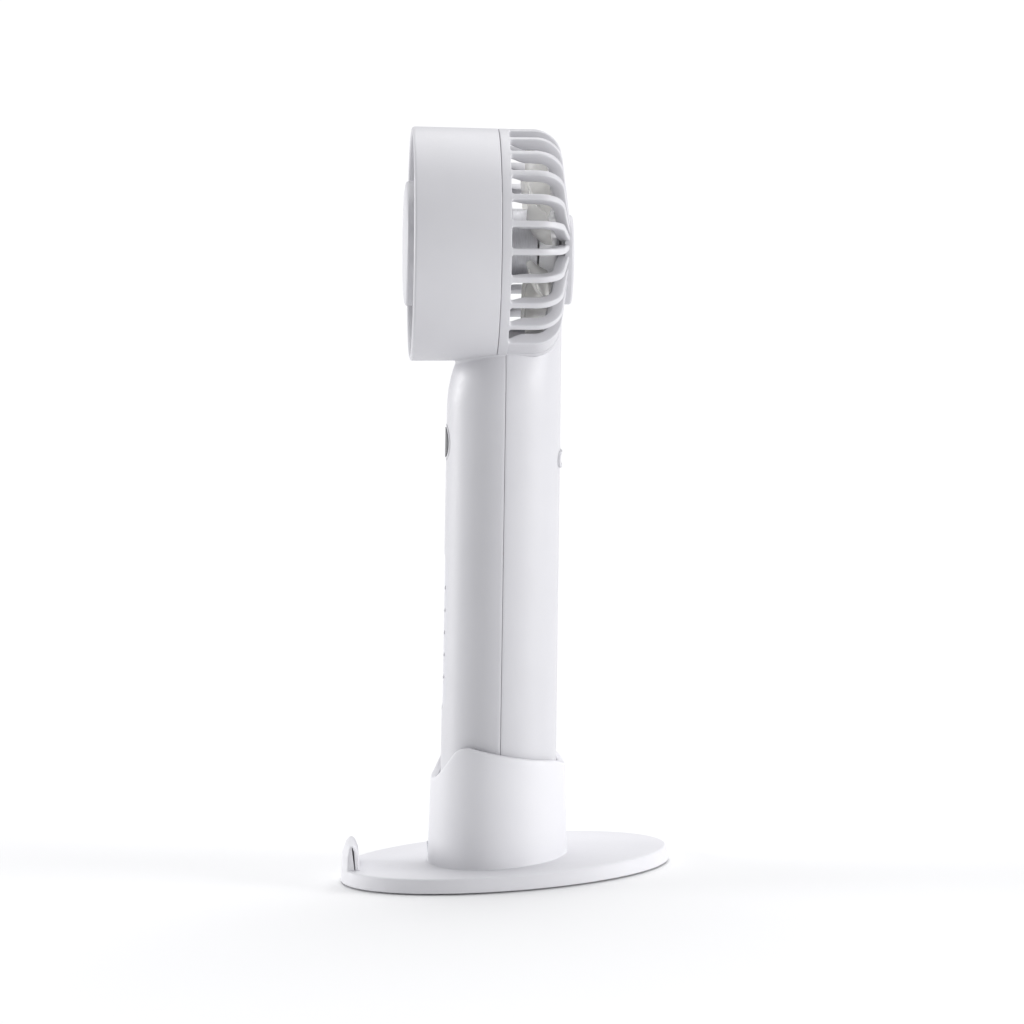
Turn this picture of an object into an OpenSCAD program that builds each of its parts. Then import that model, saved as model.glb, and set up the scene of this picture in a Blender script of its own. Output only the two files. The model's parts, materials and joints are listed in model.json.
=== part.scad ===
// Handheld electric fan standing in its desk stand.
// Millimetres, +Z up, the fan blows towards -Y.
// Origin: centre of the stand's foot, on the surface that it stands on.

/* [Stand] */
// Length of the oval base, front to back
base_len = 103; // [95:1:115]
// Width of the oval base
base_wid = 66; // [60:1:80]
// Height of the base's top face above the table
base_top = 5.1; // [4.6:0.1:6]
// Angle by which the socket leans back
lean_deg = 4.5; // [0:0.5:8]
// Distance of the socket ahead of the base's centre
socket_ahead = 2.6; // [0:0.1:4]
// Outer radius of the collar where it meets the base
collar_r_low = 21.8; // [21.5:0.1:23]
// Outer radius of the collar at its rim
collar_r_high = 20.7; // [20.4:0.1:21.4]
// Radius of the socket that takes the handle
socket_r = 18.5; // [18.4:0.05:18.7]

/* [Phone lip] */
// Width of the lip that stops a phone
lip_w = 16; // [12:1:20]
// Height of the lip above the table
lip_top = 12.9; // [10:0.1:15]
// Depth of the lip at its root, from the base's edge
lip_thk = 6.2; // [5.5:0.1:7]
// Width of the groove in each end of the lip
groove_w = 0.5; // [0.4:0.1:1]

/* [Handle] */
// Height of the handle's lower end above the socket's zero
handle_z0 = 8.9; // [8.9:0.1:10]
// Radius of the handle at its lower end
handle_r_low = 18.1; // [18:0.05:18.15]
// Radius of the handle at the neck
handle_r_high = 17.5; // [17:0.1:17.8]
// Wall of the handle and of the head ring
wall = 1.8; // [1.6:0.1:2]
// Height of the power button's centre
button_z = 135.2; // [132:0.1:137]
// Radius of the power button
button_r = 4.6; // [4:0.1:4.8]
// Height of the charging port's centre
port_z = 130.5; // [129:0.1:133]
// Length of the grip inlay
inlay_len = 49; // [40:1:52]
// Width of the grip inlay
inlay_w = 12; // [10:1:13]

/* [Head] */
// Height of the fan's axis along the handle
head_z = 196.5; // [195:0.1:199]
// Outer radius of the head ring
ring_r = 36; // [35.8:0.1:36.4]
// Front rim of the ring
ring_front = -29.5; // [-30:0.1:-29]
// Joint between the ring and the rear guard
seam_y = -3.1; // [-3.5:0.1:-3]
// Radius of the front cap
cap_r = 19.1; // [18.6:0.1:19.5]
// Number of swept vanes in the front grille
vane_count = 15; // [11:1:19]
// Number of ribs in the rear guard
rib_count = 26; // [20:2:28]
// Thickness of each rib
rib_t = 2.1; // [1.8:0.1:2.4]
// Depth of each rib
rib_depth = 3.7; // [3:0.1:3.8]
// Radius of the disc on the rear guard
disc_r = 13.8; // [12:0.1:15]
// Distance of the disc below the fan's axis
disc_drop = 4.4; // [0:0.1:5]

/* [Motor and impeller] */
// Radius of the motor can
can_r = 10.9; // [10.5:0.1:11]
// Radius of the motor shaft
shaft_r = 1; // [0.75:0.05:1.15]
// Number of impeller blades
blade_count = 7; // [5:1:9]
// Radius of the blade tips
blade_r = 31; // [29:0.1:31.2]

/* [Hidden] */

shell_colour = "#e9eaf0";
dark_colour = "#4a4c52";
steel_colour = "#9fa3a8";

gap = 0.1;            // between parts that only rest against each other
joint_y = -0.4;       // the handle's two halves meet here
fit = 0.04;           // running fit of the motor shaft
base_low = 0.5;       // underside of the base, above the foot pad's face
foot_inset = 5.5;     // the foot pad stops this far inside the base's edge
ballast_inset = 9;    // the ballast stops this far inside the base's edge
ballast_z0 = 1.05;    // underside of the ballast plate
ballast_z1 = 3.25;    // top of the ballast plate
socket_floor = 7.5;   // floor of the socket, along its own axis
collar_screw_r = 20.1;
collar_screw_turns = [60, 180, 300];
ring_low_r = ring_r - 0.3;   // the ring narrows a little towards its joint
dome_r = ring_low_r - 0.1;   // the rear guard's radius
dome_corner = 8.6;           // the guard's rounded shoulder
dome_straight = 7.9;         // the ribs run straight to here
dome_end = 19.2;             // the guard's outer face at its middle
slot_start = -0.2;           // the slots begin here
blind_half = 35.5;           // half the sector over the handle that has no slots
hub_clear_y = 16.4;          // the guard's middle stays behind this
rib_phase = 1.5;             // turn of the rib pattern from level
grille_y0 = -27.4;
grille_y1 = -23.8;
hub_r = 17.4;                // grille hub, inside the front cap's skirt
can_y0 = -20;
can_y1 = 9;
bracket_r = 12.9;
hub_y0 = 9.6;
hub_y1 = 15.2;
strut_y = -10;               // strut that brings the motor's leads in
cell_r = 10.6;
cell_z0 = 28;
cell_len = 70;
cell_y = 1;
pcb_y = 8.2;
screw_z = 18;
screw_x = 9;

// Outlines with rounded corners: each point is [x, y, corner radius]
function unit(v) = v / norm(v);
function turned(v, a) = [v.x * cos(a) - v.y * sin(a), v.x * sin(a) + v.y * cos(a)];
function corner(a, p, b, r, n) =
    let (u = unit(a - p), v = unit(b - p), h = acos(u * v) / 2)
    let (c = p + unit(u + v) * r / sin(h))
    let (s = p + u * r / tan(h) - c, e = p + v * r / tan(h) - c)
    [for (i = [0:n]) c + turned(s, sign(cross(s, e)) * (180 - 2 * h) * i / n)];
function xy(p) = [p.x, p.y];
function rounded(pts, n = 8) = let (k = len(pts))
    [for (i = [0:k - 1]) each pts[i][2] > 0
        ? corner(xy(pts[(i + k - 1) % k]), xy(pts[i]), xy(pts[(i + 1) % k]), pts[i][2], n)
        : [xy(pts[i])]];
function oval(a, b, n = 96) = [for (i = [0:n - 1]) [b * cos(i * 360 / n), a * sin(i * 360 / n)]];

// Places the fan's own frame in the leaning socket
module lean() {
    translate([0, -socket_ahead, 0]) rotate([-lean_deg, 0, 0]) children();
}

// Turns +Z to +Y at the height of the fan's axis
module on_axis(z = head_z) {
    lean() translate([0, 0, z]) rotate([-90, 0, 0]) children();
}

// A round bar along the fan's axis direction, at [x, z] in the leaning frame
module bar(x, z, y0, y1, r) {
    translate([x, y0, z]) rotate([-90, 0, 0]) cylinder(h = y1 - y0, r = r, $fn = 48);
}

module pill(len, wid, h) {
    linear_extrude(height = h) union() {
        square([len - wid, wid], center = true);
        for (s = [-1, 1]) translate([s * (len - wid) / 2, 0]) circle(d = wid, $fn = 48);
    }
}

// ---------------------------------------------------------------- stand

module oval_slab(inset, z0, z1) {
    translate([0, 0, z0]) linear_extrude(height = z1 - z0)
        polygon(oval(base_len / 2 - inset, base_wid / 2 - inset));
}

module lip() {
    outer = -base_len / 2;
    inner = outer + lip_thk;
    side = [[outer, base_low + 1, 0], [inner, base_low + 1, 0], [inner, 9.6, 0],
        [inner - 1.1, lip_top, 1.6], [outer + 2.3, lip_top, 1.4], [outer + 1, 9.2, 2]];
    plan = [[-lip_w / 2, outer - 3, 0], [lip_w / 2, outer - 3, 0], [lip_w / 2, inner, 0.9],
        [-lip_w / 2, inner, 0.9]];
    groove_depth = 4;
    difference() {
        intersection() {
            translate([lip_w, 0, 0]) rotate([90, 0, -90]) linear_extrude(height = 2 * lip_w)
                polygon([for (p = rounded(side)) [-p.x, p.y]]);
            linear_extrude(height = lip_top + 1) polygon(rounded(plan));
            oval_slab(0.7, 0, lip_top + 1);
        }
        for (s = [-1, 1]) translate([s * lip_w / 2 - groove_depth, inner - 1.4 - groove_w, base_top])
            cube([2 * groove_depth, groove_w, lip_top - base_top - 1.6]);
    }
}

module stand_base() color(shell_colour) difference() {
    union() {
        oval_slab(0.2, base_low, base_low + 0.5);
        oval_slab(0, base_low + 0.5, base_top - 2);
        oval_slab(0.3, base_top - 2, base_top - 0.8);
        oval_slab(0.6, base_top - 0.8, base_top - 0.3);
        oval_slab(1.1, base_top - 0.3, base_top);
        lip();
    }
    oval_slab(foot_inset, 0, 1);
    oval_slab(ballast_inset - gap, 0.9, ballast_z1 + gap);
    for (a = collar_screw_turns) at_collar_screw(a) cylinder(h = 10, r = 0.95, $fn = 32);
}

module at_collar_screw(a) {
    translate([0, -socket_ahead, 0]) rotate([0, 0, a]) translate([0, collar_screw_r + 0.3, 0]) children();
}

// The collar's side view: low at the front, a crest, then a slow fall to the back
module collar_outline() {
    lip_side = [[-26, 0, 0], [-26, 28.9, 0], [-20.5, 29.2, 6], [-13.2, 42.5, 4.5], [20.4, 37, 7],
        [23, 27, 0], [23, 0, 0]];
    rotate([90, 0, 90]) linear_extrude(height = 60, center = true) polygon(rounded(lip_side));
}

module stand_collar() color(shell_colour) {
    rim_z = 45;
    difference() {
        lean() difference() {
            intersection() {
                cylinder(h = rim_z, r1 = collar_r_low + 0.1, r2 = collar_r_high - 0.1, $fn = 128);
                collar_outline();
            }
            translate([0, 0, socket_floor]) cylinder(h = 60, r = socket_r, $fn = 128);
        }
        translate([-50, -50, -50 + base_top]) cube([100, 100, 50]);
        for (a = collar_screw_turns) at_collar_screw(a) cylinder(h = 11.2, r = 0.85, $fn = 32);
    }
}

module ballast_plate() color(steel_colour) difference() {
    oval_slab(ballast_inset, ballast_z0, ballast_z1);
    for (a = collar_screw_turns) at_collar_screw(a) cylinder(h = 10, r = 2.4, $fn = 32);
}

module foot_pad() color(dark_colour) oval_slab(foot_inset + gap, 0, 0.95);

module collar_screws() color(steel_colour) for (a = collar_screw_turns) at_collar_screw(a) {
    translate([0, 0, 1.7]) cylinder(h = 1.6, r = 1.9, $fn = 32);
    translate([0, 0, 3.3]) cylinder(h = 7.7, r = 0.85, $fn = 32);
}

module seat_pad() color(dark_colour) lean()
    translate([0, 0, socket_floor + gap]) cylinder(h = 1.2, r = 17.9, $fn = 96);

// ---------------------------------------------------------------- handle and head shells

function handle_r(z) = handle_r_low + (handle_r_high - handle_r_low) * (z - handle_z0) / 150;

// Solid handle, with its front and sides drawn in below the head; inset makes the inner face
module handle_body(inset = 0, z0 = handle_z0, z1 = 176) {
    neck_z = 146.5;
    neck_bend = 37;
    side_z = 151;
    side_bend = 30;
    difference() {
        translate([0, 0, z0]) cylinder(h = z1 - z0, r1 = handle_r(z0) - inset,
            r2 = handle_r(z1) - inset, $fn = 128);
        difference() {
            translate([-30, -30, neck_z]) cube([60, 30, 60]);
            translate([-31, neck_bend - handle_r(neck_z), neck_z]) rotate([0, 90, 0])
                cylinder(h = 62, r = neck_bend - inset, $fn = 192);
        }
        for (s = [-1, 1]) difference() {
            translate([s > 0 ? 0 : -30, -30, side_z]) cube([30, 60, 60]);
            translate([s * (handle_r(side_z) - side_bend), -31, side_z]) rotate([-90, 0, 0])
                cylinder(h = 62, r = side_bend - inset, $fn = 192);
        }
    }
}

module half_space(front) {
    translate([-60, front ? -120 + joint_y : joint_y + 0.12, 0]) cube([120, 120, 260]);
}

// Outer or inner form of the rear guard as a solid of revolution
module dome(inset = 0, y0 = seam_y) {
    shoulder_steps = 10;
    c = dome_r - dome_corner;
    r = dome_corner - inset;
    shoulder = [for (i = [0:shoulder_steps]) let (a = 80 * i / shoulder_steps)
        [c + r * cos(a), dome_straight + r * sin(a)]];
    rotate_extrude($fn = 144) polygon(concat([[0, y0], [dome_r - inset, y0]], shoulder,
        [[9, dome_end - inset], [0, dome_end - inset]]));
}

module shell_posts(front) {
    for (x = [-screw_x, screw_x]) {
        if (front) bar(x, screw_z, -15.5, joint_y, 2.4);
        if (!front) bar(x, screw_z, joint_y + 0.12, 15.5, 2.9);
    }
}

module front_shell() color(shell_colour) difference() {
    union() {
        head_ring();
        front_handle();
    }
    lean() translate([0, strut_y, 150]) cylinder(h = 20, r = 2.3, $fn = 48);
}

module head_ring() {
    ring = [[ring_r - wall, ring_front, 0.7], [ring_r, ring_front, 1], [ring_low_r, seam_y, 0.2],
        [ring_low_r - wall, seam_y, 0]];
    on_axis() rotate_extrude($fn = 180) polygon(rounded(ring, 5));
}

module handle_wall() {
    difference() {
        handle_body();
        handle_body(wall, handle_z0 - 1, 180);
    }
}

module front_handle() {
    lean() difference() {
        intersection() {
            union() {
                handle_wall();
                intersection() {
                    shell_posts(true);
                    handle_body(0.5);
                }
            }
            half_space(true);
        }
        translate([0, ring_front, head_z]) rotate([-90, 0, 0])
            cylinder(h = 60, r = ring_low_r - 0.4, $fn = 180);
        translate([0, seam_y - 0.02, head_z]) rotate([-90, 0, 0]) cylinder(h = 20, r = dome_r + gap, $fn = 180);
        bar(0, button_z, -25, -10, button_r + 1.1);
        inlay_recess();
        for (x = [-screw_x, screw_x]) bar(x, screw_z, -12, 5, 0.8);
    }
}

module inlay_recess() {
    depth = 0.9;
    intersection() {
        rotate([90, 90, 0]) translate([-75.9, 0, 8]) pill(inlay_len, inlay_w, 12);
        difference() {
            handle_body(-2);
            handle_body(depth);
        }
    }
}

module rear_shell() color(shell_colour) lean() difference() {
    intersection() {
        union() {
            handle_wall();
            intersection() {
                shell_posts(false);
                handle_body(0.5);
            }
        }
        half_space(false);
    }
    translate([0, 0, head_z]) rotate([-90, 0, 0]) dome(-gap, seam_y - 1);
    for (x = [-screw_x, screw_x]) {
        bar(x, screw_z, -5, 20, 1.1);
        bar(x, screw_z, 6, 20, 2.1);
    }
    translate([0, 25, port_z]) rotate([90, 0, 0]) pill(12.2, 5.2, 15);
}

module handle_end_cap() color(shell_colour) lean() difference() {
    union() {
        translate([0, 0, handle_z0 + 0.1]) cylinder(h = 1.9, r = handle_r(handle_z0) - wall - 2 * gap, $fn = 96);
        translate([0, 0, handle_z0 + 2]) cylinder(h = 3, r = 15.6, $fn = 96);
    }
    translate([0, 0, handle_z0 + 2.1]) cylinder(h = 9, r = 14.2, $fn = 96);
}

module shell_screws() color(steel_colour) lean() for (x = [-screw_x, screw_x]) {
    bar(x, screw_z, 6.05, 7.7, 1.9);
    bar(x, screw_z, -10, 6.05, 0.8);
}

module grip_inlay() color("#dfe1e6") lean() {
    bars = 5;
    difference() {
        intersection() {
            rotate([90, 90, 0]) translate([-75.9, 0, 8]) pill(inlay_len - 0.5, inlay_w - 0.5, 12);
            difference() {
                handle_body(0.25);
                handle_body(0.85);
            }
        }
        for (i = [0:bars - 1]) translate([0, -16, 75.9 + (i - (bars - 1) / 2) * 7]) rotate([90, 0, 0])
            pill(6, 1.2, 8);
    }
}

// ---------------------------------------------------------------- rear guard

module rear_guard() color(shell_colour) on_axis() {
    cylinder_tube(dome_r, dome_r - wall, seam_y + 0.12, slot_start + 0.05);
    intersection() {
        difference() {
            dome();
            dome(rib_depth, seam_y - 1);
            cylinder(h = hub_clear_y, r = 11.2, $fn = 96);
        }
        union() {
            for (i = [0:rib_count - 1]) rotate([0, 0, rib_phase + i * 360 / rib_count])
                translate([6, -rib_t / 2, slot_start]) cube([40, rib_t, 30]);
            translate([0, 0, 10]) cylinder(h = 12, r = 11, $fn = 72);
        }
    }
    intersection() {
        difference() {
            dome(0.5);
            dome(2.2, seam_y - 1);
        }
        blind_sector();
    }
}

module cylinder_tube(ro, ri, z0, z1) {
    difference() {
        translate([0, 0, z0]) cylinder(h = z1 - z0, r = ro, $fn = 180);
        translate([0, 0, z0 - 1]) cylinder(h = z1 - z0 + 2, r = ri, $fn = 180);
    }
}

module blind_sector() {
    translate([0, 0, slot_start]) linear_extrude(height = 18) polygon([[0, 0],
        [60 * sin(blind_half), 60 * cos(blind_half)], [-60 * sin(blind_half), 60 * cos(blind_half)]]);
}

module rear_disc() color(shell_colour) on_axis(head_z - disc_drop) {
    face = 20.4;
    edge = [[0, 15, 0], [disc_r, 15, 0], [disc_r, face - 0.2, 0.9], [0, face, 0]];
    difference() {
        rotate_extrude($fn = 128) polygon(rounded(edge, 6));
        translate([0, -disc_drop, 0]) dome(-gap / 2, 1);
    }
}

// ---------------------------------------------------------------- front grille

// One swept vane, seen along the axis
function vane_side(s) = [for (i = [0:8]) let (t = i / 8, r = hub_r - 0.3 + 15.7 * t, a = 34 * pow(t, 1.3))
    r * [cos(a), sin(a)] + s * 0.65 * [-sin(a), cos(a)]];

module vane() {
    back = vane_side(-1);
    translate([0, 0, grille_y0]) linear_extrude(height = grille_y1 - grille_y0)
        polygon(concat(vane_side(1), [for (i = [8:-1:0]) back[i]]));
}

module front_grille() color(shell_colour) on_axis() {
    difference() {
        union() {
            cylinder_tube(hub_r, hub_r - 3, grille_y0 - 1.4, grille_y1);
            cylinder_tube(ring_r - wall - 0.3, ring_r - wall - 1.7, grille_y0 - 0.4, grille_y1);
            for (i = [0:vane_count - 1]) rotate([0, 0, i * 360 / vane_count]) vane();
        }
        at_bracket_screws() translate([0, 0, grille_y1 - 2.4]) cylinder(h = 5, r = 0.8, $fn = 32);
    }
}

module front_cap() color(shell_colour) on_axis() {
    face = ring_front - 2;
    crown = [[0, face, 0], [cap_r - 3, face, 6], [cap_r, face + 0.4, 0.8], [cap_r, grille_y0 - 0.1, 0],
        [hub_r + 0.1, grille_y0 - 0.1, 0], [hub_r + 0.1, face + 1.9, 0.4], [0, face + 1.5, 0]];
    rotate_extrude($fn = 144) polygon(rounded(crown, 5));
    cylinder_tube(14.2, 12.8, face + 1.4, grille_y0 + 1);
}

// ---------------------------------------------------------------- motor

module at_bracket_screws() {
    for (a = [90, 210, 330]) rotate([0, 0, a]) translate([15.9, 0, 0]) children();
}

module at_motor_screws() {
    for (x = [-6, 6]) translate([x, 0, 0]) children();
}

module motor_bracket() color(shell_colour) {
    on_axis() difference() {
        union() {
            translate([0, 0, grille_y1 + gap]) cylinder(h = 1.4, r = hub_r - 0.1, $fn = 96);
            translate([0, 0, grille_y1 + gap]) cylinder(h = 1.3 - grille_y1, r = bracket_r, $fn = 128);
        }
        translate([0, 0, grille_y1 + 1.5]) cylinder(h = 40, r = can_r + gap / 2, $fn = 128);
        translate([0, 0, grille_y1 - 1]) cylinder(h = 5, r = 3.2, $fn = 48);
        at_motor_screws() translate([0, 0, grille_y1 - 1]) cylinder(h = 5, r = 1.1, $fn = 32);
        at_bracket_screws() translate([0, 0, grille_y1 - 1]) cylinder(h = 5, r = 1.1, $fn = 32);
        translate([-1.6, 0, grille_y1 + 1.5]) cube([3.2, bracket_r - 0.6, 16]);
        translate([0, 8, strut_y]) rotate([-90, 0, 0]) cylinder(h = 10, r = 1.5, $fn = 48);
    }
    lean() difference() {
        translate([0, strut_y, 162.8]) cylinder(h = 22, r = 2.2, $fn = 48);
        translate([0, strut_y, 160]) cylinder(h = 40, r = 1.5, $fn = 48);
        translate([0, 0, head_z]) rotate([-90, 0, 0]) translate([0, 0, -40])
            cylinder(h = 60, r = bracket_r - 0.3, $fn = 128);
    }
}

module bracket_screws() color(steel_colour) on_axis() at_bracket_screws() {
    translate([0, 0, grille_y1 + 1.55]) cylinder(h = 1.2, r = 1.3, $fn = 32);
    translate([0, 0, grille_y1 - 2.3]) cylinder(h = 3.85, r = 0.8, $fn = 32);
}

module motor_screws() color(steel_colour) on_axis() at_motor_screws() {
    translate([0, 0, grille_y1 - 1.15]) cylinder(h = 1.2, r = 1.9, $fn = 32);
    translate([0, 0, grille_y1 + 0.05]) cylinder(h = 5.35, r = 0.95, $fn = 32);
}

module motor_can() color(dark_colour) on_axis() difference() {
    translate([0, 0, can_y0]) cylinder(h = can_y1 - can_y0, r = can_r, $fn = 128);
    translate([0, 0, can_y0 - 1]) cylinder(h = can_y1 - can_y0 + 0.2, r = can_r - 0.8, $fn = 96);
    cylinder(h = 40, r = 3.05, $fn = 64);
}

module motor_end_cap() color("#2f3033") on_axis() difference() {
    translate([0, 0, can_y0 - 0.1]) cylinder(h = 2, r = can_r - 0.85, $fn = 96);
    translate([0, 0, can_y0 - 1]) cylinder(h = 6, r = 3.05, $fn = 64);
    at_motor_screws() translate([0, 0, can_y0 - 1]) cylinder(h = 6, r = 0.95, $fn = 32);
}

module motor_magnets() color("#55585c") on_axis() for (a = [20, 200]) rotate([0, 0, a])
    translate([0, 0, -14]) rotate_extrude(angle = 140, $fn = 96)
        translate([8.75, 0]) square([1.25, 18]);

module motor_bushes() color("#b08d57") on_axis() for (y = [can_y0 - 0.1, can_y1 - 3.1]) difference() {
    translate([0, 0, y]) cylinder(h = 3, r = 3, $fn = 64);
    translate([0, 0, y - 1]) cylinder(h = 6, r = shaft_r + fit, $fn = 64);
}

module motor_shaft() color(steel_colour) on_axis()
    translate([0, 0, can_y0 - 0.4]) cylinder(h = 36.4, r = shaft_r, $fn = 64);

module armature() color("#8a6a3d") on_axis() difference() {
    slots = 5;
    translate([0, 0, -12]) cylinder(h = 14, r = 8.3, $fn = 96);
    translate([0, 0, -13]) cylinder(h = 16, r = shaft_r, $fn = 64);
    for (i = [0:slots - 1]) rotate([0, 0, i * 360 / slots]) {
        translate([6, -0.7, -13]) cube([4, 1.4, 16]);
        translate([5, 0, -13]) cylinder(h = 16, r = 1.7, $fn = 32);
    }
}

module commutator() color("#b8733a") on_axis() difference() {
    translate([0, 0, -16.5]) cylinder(h = 4.4, r = 3, $fn = 64);
    translate([0, 0, -17]) cylinder(h = 6, r = shaft_r, $fn = 64);
}

// ---------------------------------------------------------------- impeller

module impeller() color("#cfd6d2") on_axis() {
    boss_r = 3.2;
    difference() {
        translate([0, 0, hub_y0]) cylinder(h = hub_y1 - hub_y0, r = 10.4, $fn = 96);
        translate([0, 0, hub_y0 - 1]) cylinder(h = hub_y1 - hub_y0 - 0.4, r = 9.2, $fn = 96);
        cylinder(h = 40, r = shaft_r, $fn = 64);
    }
    difference() {
        translate([0, 0, hub_y0]) cylinder(h = hub_y1 - hub_y0 - 1, r = boss_r, $fn = 64);
        cylinder(h = 40, r = shaft_r, $fn = 64);
    }
    for (i = [0:blade_count - 1]) rotate([0, 0, (i + 0.5) * 360 / blade_count]) blade();
}

module blade() {
    pitch = 36;
    intersection() {
        union() {
            cylinder_tube(blade_r, 11.7, 5, 14.6);
            cylinder_tube(12, 10.2, hub_y0 + 0.3, 14.6);
        }
        translate([0, 0, 10.2]) rotate([-90 + pitch, 0, 0]) translate([9, -12, -0.6])
            cube([24, 24, 1.2]);
        dome(rib_depth + 0.8, 0);
    }
}

module impeller_nut() color(steel_colour) on_axis() difference() {
    translate([0, 0, hub_y1 + 0.02]) cylinder(h = 0.7, r = 2.2, $fn = 6);
    cylinder(h = 40, r = shaft_r, $fn = 64);
}

// ---------------------------------------------------------------- battery and wiring

module battery_cell() color("#3f6fa8") lean() translate([0, cell_y, cell_z0]) {
    cylinder(h = cell_len - 0.6, r = cell_r, $fn = 96);
    translate([0, 0, cell_len - 0.6]) cylinder(h = 0.6, r = 3.4, $fn = 48);
}

module battery_holder() color("#d8d9dc") lean() translate([0, cell_y, 0]) {
    for (z = [cell_z0 + 4, cell_z0 + cell_len - 10]) translate([0, 0, z])
        rotate_extrude(angle = 180, $fn = 96) translate([cell_r + 0.15, 0]) square([3.1, 4]);
    translate([0, 0, cell_z0 + 8]) rotate([0, 0, 60]) rotate_extrude(angle = 60, $fn = 96)
        translate([cell_r + 0.15, 0]) square([1.5, cell_len - 18]);
}

module battery_tabs() color(steel_colour) lean() {
    translate([-3, cell_y - 3, cell_z0 + cell_len + 0.02]) cube([6, 10.5, 0.3]);
    translate([-3, cell_y - 3, cell_z0 - 0.35]) cube([7, 6, 0.3]);
}

// A wire of straight runs, with a slightly larger ball at each corner
module wire(points, r = 0.55) {
    for (i = [0:len(points) - 1]) translate(points[i]) sphere(r = r * 1.12, $fn = 24);
    for (i = [0:len(points) - 2]) let (d = points[i + 1] - points[i]) translate(points[i])
        rotate([0, acos(d.z / norm(d)), atan2(d.y, d.x)]) cylinder(h = norm(d), r = r, $fn = 24);
}

module battery_leads() color("#b3342c") lean() {
    low = cell_z0 - 0.95;
    top = cell_z0 + cell_len + 0.95;
    translate([-1.5, pcb_y - 0.65, top - 0.6]) cylinder(h = 8, r = 0.55, $fn = 24);
    wire([[3, 0, low], [3, -12.2, low], [3, -12.2, top + 2], [3, pcb_y - 0.65, top + 2],
        [3, pcb_y - 0.65, top + 8]]);
}

module motor_leads() color("#2f3033") lean() for (s = [-1, 1])
    wire([[s * 0.7, pcb_y - 0.6, 150.5], [s * 0.7, strut_y, 150.5], [s * 0.7, strut_y, 184.9],
        [s * 0.7, can_y0 - 0.9, 184.9], [s * 0.7, can_y0 - 0.9, 189]], 0.42);

// ---------------------------------------------------------------- electronics

module main_pcb() color("#2c6b4a") lean() translate([-9, pcb_y, 103]) cube([18, 1, 49]);

module control_chip() color("#222326") lean() translate([-2.5, pcb_y - 1.1, 118]) cube([5, 1.05, 5]);

module inductor() color("#3a3b3d") lean() translate([-3, pcb_y - 3.1, 138]) cube([6, 3.05, 6]);

module usb_socket() color(steel_colour) lean() difference() {
    translate([0, 17.1, port_z]) rotate([90, 0, 0]) pill(8.94, 3.26, 7.8);
    translate([0, 18, port_z]) rotate([90, 0, 0]) pill(8.34, 2.56, 7.8);
}

module usb_tongue() color("#26272a") lean() translate([-3.35, 10.3, port_z - 0.35]) cube([6.7, 5.6, 0.7]);

module port_bezel() color("#8f9298") lean() difference() {
    intersection() {
        translate([0, 25, port_z]) rotate([90, 0, 0]) pill(12, 5, 11);
        cylinder(h = 200, r = 18.3, $fn = 128);
    }
    translate([0, 30, port_z]) rotate([90, 0, 0]) pill(9.1, 3.42, 20);
}

module button_pcb() color("#2c6b4a") lean() translate([-6, -11.5, 126]) cube([12, 1, 20]);

module tact_switch() color("#2f3033") lean() difference() {
    translate([-3, -13.9, button_z - 3]) cube([6, 2.35, 6]);
    bar(0, button_z, -15, -12.4, 1.75);
}

module switch_plunger() color("#8a8c90") lean() bar(0, button_z, -14.55, -13.2, 1.65);

module power_button() color(dark_colour) lean() {
    bar(0, button_z, -15.4, -14.9, button_r + 0.9);
    bar(0, button_z, -14.9, -14.57, 1.5);
    intersection() {
        bar(0, button_z, -19, -15.4, button_r);
        cylinder(h = 200, r = 17.95, $fn = 128);
    }
}

module button_bezel() color("#c9cbd1") lean() intersection() {
    difference() {
        bar(0, button_z, -19, -15.5, button_r + 1);
        bar(0, button_z, -20, -15, button_r + 0.1);
    }
    cylinder(h = 200, r = 17.75, $fn = 128);
}

stand_base();
stand_collar();
ballast_plate();
foot_pad();
collar_screws();
seat_pad();
front_shell();
rear_shell();
handle_end_cap();
shell_screws();
grip_inlay();
rear_guard();
rear_disc();
front_grille();
front_cap();
motor_bracket();
bracket_screws();
motor_screws();
motor_can();
motor_end_cap();
motor_magnets();
motor_bushes();
motor_shaft();
armature();
commutator();
impeller();
impeller_nut();
battery_cell();
battery_holder();
battery_tabs();
battery_leads();
motor_leads();
main_pcb();
control_chip();
inductor();
usb_socket();
usb_tongue();
port_bezel();
button_pcb();
tact_switch();
switch_plunger();
power_button();
button_bezel();
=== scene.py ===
"""Looks of the handheld fan in its desk stand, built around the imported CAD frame.

Shapes are worked out in the fan's own leaning frame, in millimetres: x to the side, y to the back,
z along the handle. place() turns them into the row frame in metres.
"""
import json
import math

import bmesh
import bpy
from mathutils import Matrix, Vector


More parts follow.
